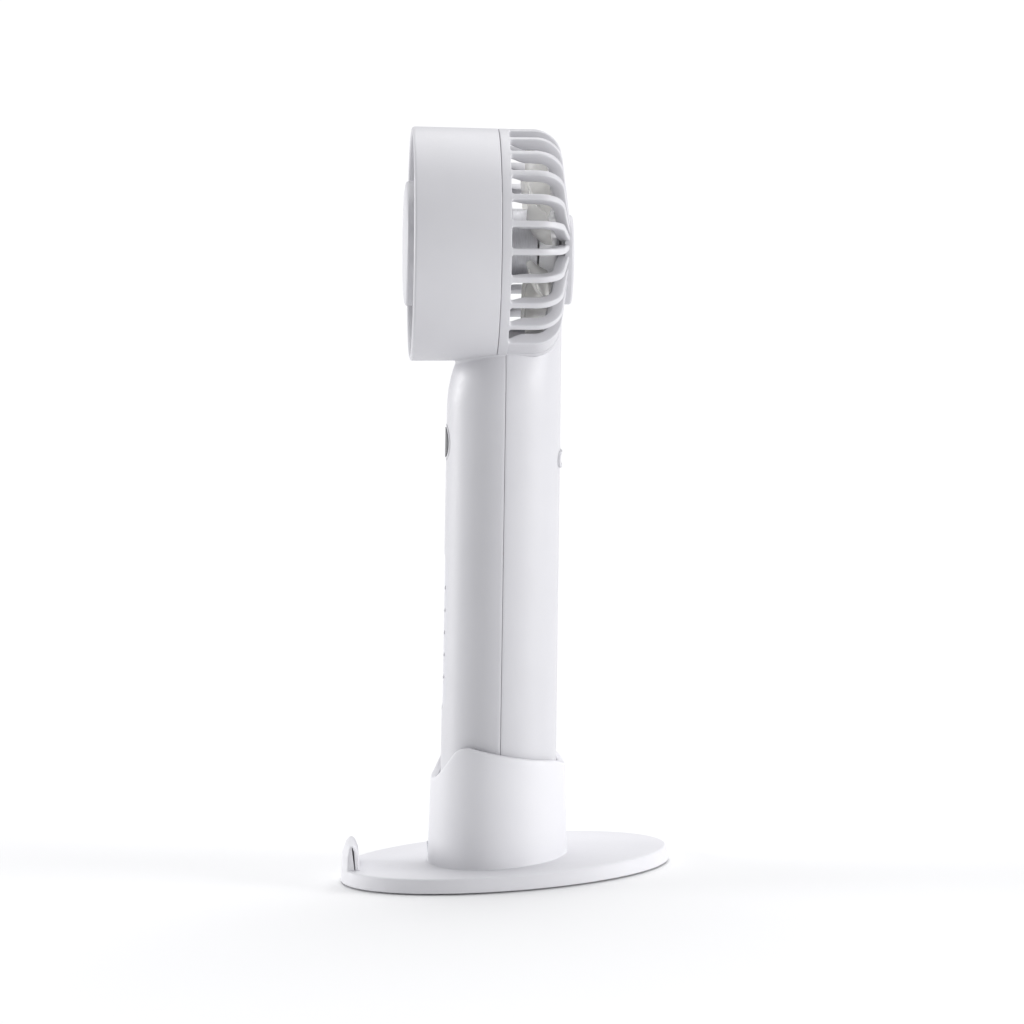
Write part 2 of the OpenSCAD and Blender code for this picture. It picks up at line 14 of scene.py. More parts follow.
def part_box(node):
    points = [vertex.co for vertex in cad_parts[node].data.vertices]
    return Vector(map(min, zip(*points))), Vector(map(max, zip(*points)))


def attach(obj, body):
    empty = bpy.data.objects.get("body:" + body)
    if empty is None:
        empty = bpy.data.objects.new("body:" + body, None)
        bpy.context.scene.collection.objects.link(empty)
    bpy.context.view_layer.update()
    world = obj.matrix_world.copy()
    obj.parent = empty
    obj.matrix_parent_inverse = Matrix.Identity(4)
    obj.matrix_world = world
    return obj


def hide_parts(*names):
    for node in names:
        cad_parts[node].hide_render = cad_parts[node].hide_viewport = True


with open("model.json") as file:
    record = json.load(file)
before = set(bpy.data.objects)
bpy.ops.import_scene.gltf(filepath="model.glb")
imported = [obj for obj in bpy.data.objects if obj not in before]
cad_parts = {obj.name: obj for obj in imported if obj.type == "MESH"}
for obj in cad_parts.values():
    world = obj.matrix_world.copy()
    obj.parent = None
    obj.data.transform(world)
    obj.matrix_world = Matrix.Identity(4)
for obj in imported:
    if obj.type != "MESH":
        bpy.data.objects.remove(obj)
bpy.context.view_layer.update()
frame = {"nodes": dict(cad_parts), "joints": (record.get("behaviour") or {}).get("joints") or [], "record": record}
JOINTS = {j["name"]: j for j in frame["joints"]}
NODES = frame["nodes"]

# ------------------------------------------------------------------ the leaning frame

turn_axis = Vector(JOINTS["fan_turn"]["axis"])
LEAN = Matrix.Translation(Vector(JOINTS["fan_turn"]["pos_m"])) @ Matrix.Rotation(
    -math.atan2(turn_axis.y, turn_axis.z), 4, "X")
UNLEAN = LEAN.inverted()
MM = 0.001


def place(point):
    """A point of the leaning frame, in mm, as a point of the row frame in metres."""
    return LEAN @ (Vector(point) * MM)


def lean_box(node):
    """Lowest and highest corner of a CAD node in the leaning frame, in mm."""
    points = [UNLEAN @ v.co / MM for v in NODES[node].data.vertices]
    low = Vector(min(p[i] for p in points) for i in range(3))
    high = Vector(max(p[i] for p in points) for i in range(3))
    return low, high


HEAD_Z = (UNLEAN @ Vector(JOINTS["impeller_spin"]["pos_m"])).z / MM
shell_low, shell_high = lean_box("front_shell")
guard_low, guard_high = lean_box("rear_guard")
base_low, base_high = (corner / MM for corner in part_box("stand_base"))

WALL = 1.8                          # wall of the fan's mouldings
RING_R = shell_high.x               # head ring at its front edge
RING_FRONT = shell_low.y
SEAM_GAP = 0.12                     # open seam between two mouldings
SEAM_Y = guard_low.y - SEAM_GAP     # where the ring ends and the guard's band begins
GUARD_R = guard_high.x
GUARD_END = guard_high.y
SLOT_Y = -0.15                      # where the guard's slots begin
STRAIGHT_Y = 7.9                    # where its ribs start to curve in
SHOULDER = 8.6                      # radius of that curve
SHOULDER_ANGLE = math.radians(80)
CONE_R = 9.0                        # radius that the ribs head for past the shoulder
RIB_END_R = CONE_R + 0.5            # and where they stop, inside the guard's hub
RIB_COUNT = 26
RIB_PHASE = math.radians(1.5)
HANDLE_Z0 = shell_low.z
HANDLE_R_LOW = lean_box("rear_shell")[1].x
HANDLE_R_HIGH = HANDLE_R_LOW - 0.6
HANDLE_SEAM = -0.4
NECK_FRONT = (146.5, 37.0)          # height and radius of the bend under the head, at the front
NECK_SIDE = (151.0, 30.0)           # and at the sides
SOCKET_R = 18.5
DRAFT = 0.73                        # how far the slab's side leans in over its height
FOOT_RECESS = 0.45                  # depth of the recess under the slab


# ------------------------------------------------------------------ outlines and meshes

def corner_arc(before, at, after, radius, steps):
    """Points of an arc that rounds the corner at `at`."""
    u = (Vector(before) - Vector(at)).normalized()
    v = (Vector(after) - Vector(at)).normalized()
    half = u.angle(v) / 2
    centre = Vector(at) + (u + v).normalized() * radius / math.sin(half)
    start = Vector(at) + u * radius / math.tan(half) - centre
    end = Vector(at) + v * radius / math.tan(half) - centre
    sweep = (math.pi - 2 * half) * (1 if start.cross(end) > 0 else -1)
    points = []
    for i in range(steps + 1):
        a = sweep * i / steps
        points.append((centre.x + start.x * math.cos(a) - start.y * math.sin(a),
                       centre.y + start.x * math.sin(a) + start.y * math.cos(a)))
    return points


def rounded(outline, steps=5):
    """An outline given as (x, y, corner radius), with its corners rounded."""
    out = []
    count = len(outline)
    for i, (x, y, radius) in enumerate(outline):
        if radius > 0:
            out += corner_arc(outline[i - 1][:2], (x, y), outline[(i + 1) % count][:2], radius, steps)
        else:
            out.append((x, y))
    return out


class Shape:
    """Vertices in mm and faces, gathered before they become one mesh."""

    def __init__(self):
        self.points = []
        self.faces = []

    def add(self, points, faces):
        start = len(self.points)
        self.points += [tuple(p) for p in points]
        self.faces += [[start + i for i in face] for face in faces]

    def loft(self, rings, caps=True):
        """Skins equal rings of points, in order, and closes both ends."""
        count = len(rings[0])
        faces = []
        for k in range(len(rings) - 1):
            a, b = k * count, (k + 1) * count
            for i in range(count):
                j = (i + 1) % count
                faces.append([a + i, a + j, b + j, b + i])
        if caps:
            faces.append(list(range(count))[::-1])
            faces.append([(len(rings) - 1) * count + i for i in range(count)])
        self.add([p for ring in rings for p in ring], faces)

    def revolve(self, profile, steps=160, z=HEAD_Z):
        """Turns a closed (radius, y) outline about the fan's axis. Points on the axis become poles."""
        rows = []
        for radius, y in profile:
            if radius < 1e-6:
                rows.append([len(self.points)] * steps)
                self.points.append((0.0, y, z))
                continue
            rows.append([len(self.points) + i for i in range(steps)])
            self.points += [(radius * math.cos(2 * math.pi * i / steps), y,
                             z + radius * math.sin(2 * math.pi * i / steps)) for i in range(steps)]
        for k, row in enumerate(rows):
            after = rows[(k + 1) % len(rows)]
            if row[0] == row[1] and after[0] == after[1]:
                continue
            for i in range(steps):
                j = (i + 1) % steps
                face = [row[i], row[j], after[j], after[i]]
                self.faces.append(list(dict.fromkeys(face)))


def build(name, shape, body, material, nodes=(), leaning=True, sharp=32):
    """Makes a piece from a shape, rides it on its body and hides the CAD nodes it stands for."""
    points = [place(p) if leaning else Vector(p) * MM for p in shape.points]
    mesh = bpy.data.meshes.new(name)
    mesh.from_pydata(points, [], shape.faces)
    mesh.validate()
    work = bmesh.new()
    work.from_mesh(mesh)
    bmesh.ops.remove_doubles(work, verts=work.verts, dist=1e-7)
    bmesh.ops.recalc_face_normals(work, faces=work.faces)
    work.to_mesh(mesh)
    work.free()
    finish_shading(mesh, sharp)
    piece = bpy.data.objects.new(name, mesh)
    bpy.context.scene.collection.objects.link(piece)
    mesh.materials.append(material)
    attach(piece, body)
    for node in nodes:
        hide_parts(node)
    return piece


def finish_shading(mesh, sharp):
    """Smooth shading, with edges over `sharp` degrees left crisp."""
    for face in mesh.polygons:
        face.use_smooth = True
    mesh.set_sharp_from_angle(angle=math.radians(sharp))


def cut(piece, tools, sharp=32):
    """Cuts tool shapes, in the leaning frame, out of a piece and applies the result."""
    for tool_shape in tools:
        mesh = bpy.data.meshes.new("tool")
        mesh.from_pydata([place(p) for p in tool_shape.points], [], tool_shape.faces)
        work = bmesh.new()
        work.from_mesh(mesh)
        bmesh.ops.recalc_face_normals(work, faces=work.faces)
        work.to_mesh(mesh)
        work.free()
        tool = bpy.data.objects.new("tool", mesh)
        bpy.context.scene.collection.objects.link(tool)
        modifier = piece.modifiers.new("cut", "BOOLEAN")
        modifier.operation = "DIFFERENCE"
        modifier.solver = "MANIFOLD"
        modifier.object = tool
        bpy.context.view_layer.update()
        evaluated = piece.evaluated_get(bpy.context.evaluated_depsgraph_get())
        result = bpy.data.meshes.new_from_object(evaluated)
        piece.modifiers.clear()
        piece.data = result
        bpy.data.objects.remove(tool)
    finish_shading(piece.data, sharp)


# ------------------------------------------------------------------ materials

def new_material(name):
    """A material with a Principled shader, its tree, the shader and the object's coordinates."""
    material = bpy.data.materials.new(name)
    material.use_nodes = True
    tree = material.node_tree
    tree.nodes.clear()
    shader = tree.nodes.new("ShaderNodeBsdfPrincipled")
    output = tree.nodes.new("ShaderNodeOutputMaterial")
    tree.links.new(shader.outputs["BSDF"], output.inputs["Surface"])
    coordinates = tree.nodes.new("ShaderNodeTexCoord")
    return material, tree, shader, coordinates.outputs["Object"]


def noise(tree, coordinates, scale, detail=3.0, roughness=0.5):
    """A noise value over the coordinates."""
    node = tree.nodes.new("ShaderNodeTexNoise")
    node.inputs["Scale"].default_value = scale
    node.inputs["Detail"].default_value = detail
    node.inputs["Roughness"].default_value = roughness
    tree.links.new(coordinates, node.inputs["Vector"])
    return node.outputs["Fac"]


def spread(tree, value, low, high):
    """Stretches the middle of a noise value over low to high."""
    node = tree.nodes.new("ShaderNodeMapRange")
    node.inputs["From Min"].default_value = 0.3
    node.inputs["From Max"].default_value = 0.7
    node.inputs["To Min"].default_value = low
    node.inputs["To Max"].default_value = high
    tree.links.new(value, node.inputs["Value"])
    return node.outputs["Result"]


def two_tone(tree, value, first, second):
    """Mixes two colours by a value."""
    node = tree.nodes.new("ShaderNodeMix")
    node.data_type = "RGBA"
    node.inputs["A"].default_value = (*first, 1)
    node.inputs["B"].default_value = (*second, 1)
    tree.links.new(value, node.inputs["Factor"])
    return node.outputs["Result"]


def bump(tree, shader, height, strength, distance, below=None):
    """Bumps the shader's normal, on top of an earlier bump if there is one."""
    node = tree.nodes.new("ShaderNodeBump")
    node.inputs["Strength"].default_value = strength
    node.inputs["Distance"].default_value = distance
    tree.links.new(height, node.inputs["Height"])
    if below is not None:
        tree.links.new(below, node.inputs["Normal"])
    tree.links.new(node.outputs["Normal"], shader.inputs["Normal"])
    return node.outputs["Normal"]


def moulded_plastic(name, colour, rough=0.5, grain=0.00004, grain_scale=3200):
    """Spark-eroded moulded plastic: fine grain, faint mottling in colour and in gloss."""
    material, tree, shader, at = new_material(name)
    cloudy = noise(tree, at, 55, 4)
    fine = noise(tree, at, 900, 3)
    darker = tuple(c * 0.97 for c in colour)
    tone = spread(tree, cloudy, 0, 1)
    tree.links.new(two_tone(tree, tone, colour, darker), shader.inputs["Base Color"])
    tree.links.new(spread(tree, fine, rough - 0.05, rough + 0.06), shader.inputs["Roughness"])
    wavy = bump(tree, shader, noise(tree, at, 140, 2), 0.12, 0.0002)
    bump(tree, shader, noise(tree, at, grain_scale, 2, 0.6), 0.5, grain, wavy)
    return material


def metal(name, colour, rough=0.3, stretch=(1, 1, 14), scale=400):
    """Drawn or plated metal with fine lines along one direction."""
    material, tree, shader, at = new_material(name)
    mapping = tree.nodes.new("ShaderNodeMapping")
    mapping.inputs["Scale"].default_value = stretch
    tree.links.new(at, mapping.inputs["Vector"])
    lines = noise(tree, mapping.outputs["Vector"], scale, 4)
    darker = tuple(c * 0.85 for c in colour)
    tree.links.new(two_tone(tree, spread(tree, lines, 0, 1), colour, darker), shader.inputs["Base Color"])
    tree.links.new(spread(tree, lines, rough - 0.08, rough + 0.1), shader.inputs["Roughness"])
    shader.inputs["Metallic"].default_value = 1.0
    bump(tree, shader, lines, 0.25, 0.00002)
    return material


def frosted_plastic(name):
    """Translucent impeller plastic: see-through with a frosted face."""
    material, tree, shader, at = new_material(name)
    cloudy = noise(tree, at, 120, 3)
    tree.links.new(two_tone(tree, spread(tree, cloudy, 0, 1), (0.97, 0.965, 0.945), (0.93, 0.925, 0.9)),
                   shader.inputs["Base Color"])
    tree.links.new(spread(tree, noise(tree, at, 500, 3), 0.14, 0.26), shader.inputs["Roughness"])
    shader.inputs["Transmission Weight"].default_value = 0.6
    shader.inputs["IOR"].default_value = 1.12
    bump(tree, shader, noise(tree, at, 400, 2), 0.15, 0.00004)
    return material


WHITE = moulded_plastic("fan_white", (0.6, 0.597, 0.623), rough=0.44)
STAND_WHITE = moulded_plastic("stand_white", (0.72, 0.717, 0.745), rough=0.55)
INLAY = moulded_plastic("inlay_plastic", (0.6, 0.6, 0.635), rough=0.38, grain=0.00002)
DARK = moulded_plastic("dark_plastic", (0.05, 0.05, 0.056), rough=0.45)
BUTTON = moulded_plastic("button_plastic", (0.07, 0.072, 0.08), rough=0.4)
BEZEL = moulded_plastic("bezel_plastic", (0.58, 0.58, 0.605), rough=0.36)
MOTOR = metal("motor_can_steel", (0.62, 0.62, 0.645), rough=0.46, stretch=(1, 12, 1))
RUBBER = moulded_plastic("pad_rubber", (0.06, 0.06, 0.064), rough=0.8, grain=0.0001, grain_scale=1500)
STEEL = metal("plated_steel", (0.62, 0.63, 0.66))
MILKY = moulded_plastic("milky_plastic", (0.8, 0.8, 0.81), rough=0.3, grain=0.00001)
BRONZE = metal("sintered_bronze", (0.55, 0.37, 0.19), rough=0.5, stretch=(1, 1, 1), scale=1500)
COPPER = metal("copper_winding", (0.72, 0.36, 0.2), rough=0.35, stretch=(1, 20, 1), scale=700)
MAGNET = moulded_plastic("ferrite", (0.09, 0.09, 0.095), rough=0.6)
CLEAR = frosted_plastic("frosted_plastic")
CELL = moulded_plastic("cell_wrap", (0.08, 0.2, 0.42), rough=0.25)
RED = moulded_plastic("red_insulation", (0.45, 0.03, 0.025), rough=0.35)
BLACK = moulded_plastic("black_insulation", (0.03, 0.03, 0.03), rough=0.35)
BOARD = moulded_plastic("solder_mask", (0.02, 0.15, 0.07), rough=0.3)

SLOT_MATERIAL = {
    "stand_shell": STAND_WHITE, "fan_shell": WHITE, "inlay": INLAY, "steel": STEEL, "soft_pad": RUBBER,
    "motor_paint": MOTOR, "dark_plastic": DARK, "magnet": MAGNET, "bronze": BRONZE, "copper": COPPER,
    "clear_plastic": CLEAR, "cell_wrap": CELL, "red_wire": RED, "black_wire": BLACK,
    "circuit_board": BOARD, "bezel": BEZEL, "button_plastic": BUTTON,
}
for part in frame["record"]["subparts"]:
    node = NODES[part["node"]]
    node.data.materials.clear()
    node.data.materials.append(SLOT_MATERIAL[part["material_slot"]])

# ------------------------------------------------------------------ stand


def slab_top():
    """Height of the slab's top face, a hair under the collar's foot."""
    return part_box("stand_collar")[0].z / MM - 0.02


def oval(inset, z, steps=192):
    """The slab's outline at z, drawn in by inset."""
    a = base_high.y - inset
    b = base_high.x - inset
    return [(b * math.cos(2 * math.pi * i / steps), a * math.sin(2 * math.pi * i / steps), z)
            for i in range(steps)]


def make_base():
    """Oval slab, a little wider below, with a soft upper edge; its underside is recessed for the pad."""
    top = slab_top()
    recess = base_low.z + FOOT_RECESS
    rim = 5.6
    edge = rounded([(9, recess, 0), (rim, recess, 0), (rim, base_low.z, 0.2),
                    (0, base_low.z, 0.35), (DRAFT, top, 0.75), (9, top, 0)], 6)
    further_in = (14, 20, 26)
    shape = Shape()
    shape.loft([oval(inset, recess) for inset in further_in[::-1]]
               + [oval(inset, z) for inset, z in edge]
               + [oval(inset, top) for inset in further_in])
    build("base_slab", shape, "stand", STAND_WHITE, ["stand_base"], leaning=False)


def make_lip():
    """Phone lip: its outer face carries on from the slab's side, and each end has a fine groove."""
    half = 8.0
    thickness = 6.2
    end_round = 0.7
    low, top = 1.5, base_high.z
    a, b = base_high.y, base_high.x
    bed = slab_top()
    inner = -a + thickness

    def outer(x, z):
        """The slab's side at x and z, carried up as the lip's outer face."""
        inset = DRAFT * (z - base_low.z) / (bed - base_low.z) - 0.03
        return -(a - inset) * math.sqrt(1 - (x / (b - inset)) ** 2)

    stations = [half * math.sin(math.pi / 2 * i / 14) for i in range(-14, 15)]
    stations += [side * (half - end_round + end_round * t) for side in (-1, 1) for t in (0, 0.3, 0.6, 0.85)]
    rings = []
    for x in sorted(set(round(v, 4) for v in stations)):
        past = max(0.0, abs(x) - (half - end_round))
        shrink = end_round - math.sqrt(max(0.0, end_round ** 2 - past ** 2))
        front = outer(x, bed)
        swept = front - outer(0, bed)
        side = [(outer(x, low), low, 0), (front, bed, 0), (front + 0.4, 9.4, 2.2),
                (front + 1.9 - 0.4 * swept, top, 1.3), (inner - 1.1, top, 1.5), (inner, 9.6, 2.5),
                (inner, bed - 1, 0)]
        middle = (front + inner) / 2
        squeeze = 1 - shrink / (inner - front) * 2
        rings.append([(x, middle + (y - middle) * squeeze, z - shrink * max(0.0, (z - bed) / (top - bed)))
                      for y, z in rounded(side, 6)])
    shape = Shape()
    shape.loft(rings)
    lip = build("phone_lip", shape, "stand", STAND_WHITE, ["stand_base"], leaning=False,
                sharp=20)

    groove_depth = 1.6
    outline = [(1.4, bed - 0.02), (1.72, bed - 0.02), (1.76, 11.3), (1.6, 11.5), (1.44, 11.3)]
    grooves = []
    for x0, x1 in ((-half - 1, -half + groove_depth), (half - groove_depth, half + 1)):
        groove = Shape()
        groove.loft([[tuple(UNLEAN @ (Vector((x, inner - into, z)) * MM) / MM) for into, z in outline]
                     for x in (x0, x1)])
        grooves.append(groove)
    cut(lip, grooves, sharp=20)


def rim_height(y):
    """Height of the collar's rim above the socket's zero, where the rim is at y."""
    outline = rounded([(-26, 0, 0), (-26, 28.9, 0), (-20.5, 29.2, 6), (-13.2, 42.5, 4.5),
                       (20.4, 37, 7), (23, 27, 0), (23, 0, 0)], 14)
    for (y0, z0), (y1, z1) in zip(outline, outline[1:]):
        if y0 <= y <= y1 and y1 - y0 > 1e-9:
            return z0 + (z1 - z0) * (y - y0) / (y1 - y0)
    return outline[0][1]


def make_collar():
    """Leaning socket with a curved rim; the rim's edges are rounded and its foot has a small fillet."""
    columns = 288
    rows = 26
    low_r, high_r, taper_height = 21.9, 20.6, 45.0
    outer_edge, inner_edge, fillet = 0.75, 0.6, 0.35
    floor = 7.5
    lean = math.atan2(turn_axis.y, turn_axis.z)

    def outer(z):
        return low_r + (high_r - low_r) * z / taper_height

    rim_r = outer(38) - 0.4

    def side(sx, sy):
        """One run of points, from the slab up the outside, over the rim and down to the socket's floor."""
        zero_plane = LEAN @ (Vector((sx * low_r, sy * low_r, 0)) * MM)
        foot = (slab_top() * MM - zero_plane.z) / math.cos(lean) / MM + 0.02
        rim = rim_height(sy * rim_r)
        points = []
        for i in range(5):
            t = math.pi / 2 * i / 5
            points.append((outer(foot) + fillet * (1 - math.sin(t)), foot + fillet * (1 - math.cos(t))))
        for i in range(rows):
            z = foot + fillet + (rim - outer_edge - foot - fillet) * i / (rows - 1)
            points.append((outer(z), z))
        for i in range(1, 7):
            t = math.pi / 2 * i / 6
            points.append((outer(rim) - outer_edge * (1 - math.cos(t)), rim - outer_edge * (1 - math.sin(t))))
        for i in range(7):
            t = math.pi / 2 * i / 6
            points.append((SOCKET_R + inner_edge * (1 - math.sin(t)), rim - inner_edge * (1 - math.cos(t))))
        for i in range(1, rows):
            points.append((SOCKET_R, rim - inner_edge + (floor - rim + inner_edge) * i / (rows - 1)))
        return [(r * sx, r * sy, z) for r, z in points]

    sides = [side(math.sin(a), -math.cos(a)) for a in (2 * math.pi * k / columns for k in range(columns))]
    shape = Shape()
    shape.loft([list(row) for row in zip(*sides)])
    build("collar", shape, "stand", STAND_WHITE, ["stand_collar"])


# ------------------------------------------------------------------ handle

def handle_r(z):
    """Radius of the handle, which tapers a little towards the head."""
    taper_height = 150
    return HANDLE_R_LOW + (HANDLE_R_HIGH - HANDLE_R_LOW) * (z - HANDLE_Z0) / taper_height


def bend(z, start, radius):
    """How far a surface is drawn in at z by a bend that starts lower down."""
    rise = min(max(0.0, z - start), radius * 0.8)
    return radius - math.sqrt(radius ** 2 - rise ** 2)


def guard_radius(y):
    """Outer radius of the ring and guard at y."""
    if y < STRAIGHT_Y:
        return GUARD_R
    y0 = STRAIGHT_Y + SHOULDER * math.sin(SHOULDER_ANGLE)
    if y < y0:
        return GUARD_R - SHOULDER + math.sqrt(SHOULDER ** 2 - (y - STRAIGHT_Y) ** 2)
    r0 = GUARD_R - SHOULDER + SHOULDER * math.cos(SHOULDER_ANGLE)
    return r0 + (CONE_R - r0) * (y - y0) / (GUARD_END - y0)


def head_radius(y):
    """Outer radius of the head above the handle at y."""
    if y < SEAM_Y:
        return RING_R + (GUARD_R + 0.1 - RING_R) * (y - RING_FRONT) / (SEAM_Y - RING_FRONT)
    return guard_radius(y)


def handle_half(front):
    """Half of the handle as a closed shell, with a fillet where it meets the head."""
    sign = -1 if front else 1
    edge_y = HANDLE_SEAM if front else HANDLE_SEAM + SEAM_GAP
    soft = 0.16
    columns = 72
    rows = 70
    fillet_rows = 8

    def section(z, inset=0.0):
        """Outline at z from the +X joint edge round to the -X one, or the wall's inside if inset is given."""
        r = handle_r(z)
        wide = 1 - bend(z, *NECK_SIDE) / r
        deep = 1 - (bend(z, *NECK_FRONT) / r if front else 0)
        first = math.asin((sign * edge_y + soft) / r)
        start_y = edge_y + sign * soft
        points = []
        for i in range(columns + 1):
            a = first + (math.pi - 2 * first) * i / columns
            part = abs(math.sin(a))
            x = r * math.cos(a) * (1 - 0.05 * part * (1 - part)) * wide
            points.append((x, start_y + (sign * r * math.sin(a) - start_y) * deep))
        edge = points[0][0]
        start = [(edge - 0.6 * soft, edge_y), (edge - 0.2 * soft, edge_y + sign * 0.3 * soft)]
        points = start + points + [(-x, y) for x, y in reversed(start)]
        if inset:
            q = (r - inset) / r
            points = [(x * q, edge_y if abs(y - edge_y) < 0.4 else y * q) for x, y in points]
        return points

    def ceiling(x, y):
        """Height of the head's underside over a point of the handle."""
        r = head_radius(y) - (0 if front else 0.45)
        return HEAD_Z - math.sqrt(max(1.0, r * r - x * x))

    tops = []
    count = len(section(150))
    for k in range(count):
        z = 160.0
        for _ in range(12):
            z = 0.5 * (z + ceiling(*section(z)[k]))
        tops.append(z)

    def column(k):
        """Points of one column, from the handle's foot up and out along the fillet."""
        x, y = section(tops[k])[k]
        away = Vector((x, y - HANDLE_SEAM)).normalized()
        if front:
            reach = 1.3 - 0.8 * abs(away.x)
        else:
            reach = 0.15 + 0.35 * min(1.0, max(0.0, (14 - y) / 9))
        low = tops[k] - 1.4 * reach
        points = []
        for i in range(rows):
            z = HANDLE_Z0 + (low - HANDLE_Z0) * (1 - (1 - i / (rows - 1)) ** 1.5)
            points.append((*section(z)[k], z))
        out = (x + away.x * reach, y + (away.y * reach if sign * away.y > 0.05 else 0))
        end = Vector((*out, ceiling(*out) + 0.06))
        start, middle = Vector(points[-1]), Vector((x, y, tops[k]))
        for i in range(1, fillet_rows + 1):
            t = i / fillet_rows
            points.append(tuple(start * (1 - t) ** 2 + middle * 2 * t * (1 - t) + end * t * t))
        return points

    outer = [column(k) for k in range(count)]
    rings = []
    for row in range(len(outer[0])):
        ring = [outer[k][row] for k in range(count)]
        inner = [(*section(min(p[2], tops[k]), WALL)[k], p[2]) for k, p in enumerate(ring)]
        rings.append(ring + inner[::-1])
    shape = Shape()
    shape.loft(rings, caps=False)
    last = (len(rings) - 1) * 2 * count
    for base in (0, last):
        for k in range(count - 1):
            shape.faces.append([base + k, base + k + 1, base + 2 * count - 2 - k, base + 2 * count - 1 - k])
    return shape


def rod(z, y0, y1, r, steps=64):
    """A round bar along y, with its axis at x = 0, from y0 to y1."""
    shape = Shape()
    shape.loft([[(r * math.cos(2 * math.pi * i / steps), y, z + r * math.sin(2 * math.pi * i / steps))
                 for i in range(steps)] for y in (y0, y1)])
    return shape


def pill_prism(length, width, z, y0, y1, upright, steps=24):
    """A pill outline in the x-z plane, carried from y0 to y1."""
    outline = []
    for side in (1, -1):
        for i in range(steps + 1):
            a = -math.pi / 2 + math.pi * i / steps
            u = side * ((length - width) / 2 + width / 2 * math.cos(a))
            v = side * width / 2 * math.sin(a)
            outline.append((v, z + u) if upright else (u, z + v))
    shape = Shape()
    shape.loft([[(x, y, zz) for x, zz in outline] for y in (y0, y1)])
    return shape


def make_handle():
    """Both halves of the handle, with openings for the button, the inlay and the port."""
    button_low, button_high = lean_box("button_bezel")
    inlay_low, inlay_high = lean_box("grip_inlay")
    port_low, port_high = lean_box("port_bezel")
    outside = 25
    inside = 10
    recess_floor = -16.3
    front = build("front_handle", handle_half(True), "fan", WHITE, ["front_shell"])
    button_z = (button_low.z + button_high.z) / 2
    hole = rod(button_z, -outside, -inside, (button_high.x - button_low.x) / 2 + 0.1)
    recess = pill_prism(inlay_high.z - inlay_low.z + 0.4, inlay_high.x - inlay_low.x + 0.4,
                        (inlay_high.z + inlay_low.z) / 2, -outside, recess_floor, True)
    cut(front, [hole, recess])
    back = build("rear_handle", handle_half(False), "fan", WHITE, ["rear_shell"])
    port = pill_prism(port_high.x - port_low.x + 0.2, port_high.z - port_low.z + 0.2,
                      (port_low.z + port_high.z) / 2, inside, outside, False)
    cut(back, [port])


# ------------------------------------------------------------------ head

def make_ring():
    """Head ring, with rounded edges at its open front."""
    shape = Shape()
    outline = [(RING_R - WALL, RING_FRONT, 0.75), (RING_R, RING_FRONT, 1.0),
               (GUARD_R, SEAM_Y, 0.3), (GUARD_R - WALL, SEAM_Y, 0.2)]
    shape.revolve(rounded(outline, 6), 240)
    build("head_ring", shape, "fan", WHITE, ["front_shell"])


def guard_path():
    """Points (radius, y, outward normal) along a rib's outer edge, from the band to the hub."""
    steps = (-0.6, 0, 0.08, 0.2, 0.35, 0.55, 0.8, 1.2, 2, 3, 4.5, 6)
    path = [(GUARD_R, SLOT_Y + step, 0.0) for step in steps]
    for i in range(15):
        a = SHOULDER_ANGLE * i / 14
        path.append((GUARD_R - SHOULDER + SHOULDER * math.cos(a), STRAIGHT_Y + SHOULDER * math.sin(a), a))
    r0, y0, _ = path[-1]
    outward = math.atan2(r0 - CONE_R, GUARD_END - y0)
    for i in range(1, 13):
        t = i / 12
        path.append((r0 + (RIB_END_R - r0) * t, y0 + (GUARD_END - 0.05 - y0) * t, outward))
    return path


def rib_section(half, depth, edge):
    """A rib's rounded cross-section as (across, outwards)."""
    return rounded([(-half, 0, edge), (half, 0, edge), (half, -depth, edge), (-half, -depth, edge)], 3)


def make_guard():
    """Band, ribs that flare where they leave it, and the hub that they meet in."""
    shape = Shape()
    band = [(GUARD_R - WALL, SEAM_Y + SEAM_GAP, 0.2), (GUARD_R, SEAM_Y + SEAM_GAP, 0.3),
            (GUARD_R, SLOT_Y + 0.05, 0.25), (GUARD_R - WALL, SLOT_Y + 0.05, 0.25)]
    shape.revolve(rounded(band, 5), 208)
    depth, half, blend = 3.7, 1.0, 0.9
    growth = 9
    path = guard_path()
    for k in range(RIB_COUNT):
        turn = RIB_PHASE + 2 * math.pi * k / RIB_COUNT
        rings = []
        for r, y, a in path:
            along = max(0.0, y - SLOT_Y)
            flare = blend - math.sqrt(blend ** 2 - max(0.0, blend - along) ** 2)
            from_hub = max(0.0, min(1.0, (r - RIB_END_R) / growth))
            wide = (half + flare) * (0.62 + 0.38 * from_hub)
            deep = depth * (0.8 + 0.2 * from_hub)
            if r >= GUARD_R:
                deep = WALL + (depth - WALL) * min(1, along / 4)
            ring = []
            for u, v in rib_section(wide, deep, min(0.5, wide * 0.45)):
                rr = r + v * math.cos(a)
                yy = y + v * math.sin(a)
                ring.append((rr * math.cos(turn) - u * math.sin(turn), yy,
                             HEAD_Z + rr * math.sin(turn) + u * math.cos(turn)))
            rings.append(ring)
        shape.loft(rings)
    hub = [(0, GUARD_END - 2.7, 0), (10.6, GUARD_END - 2.8, 0.5), (10.6, GUARD_END - 0.15, 0.6),
           (0, GUARD_END - 0.1, 0)]
    shape.revolve(rounded(hub, 4), 96)
    build("guard", shape, "fan", WHITE, ["rear_guard"])


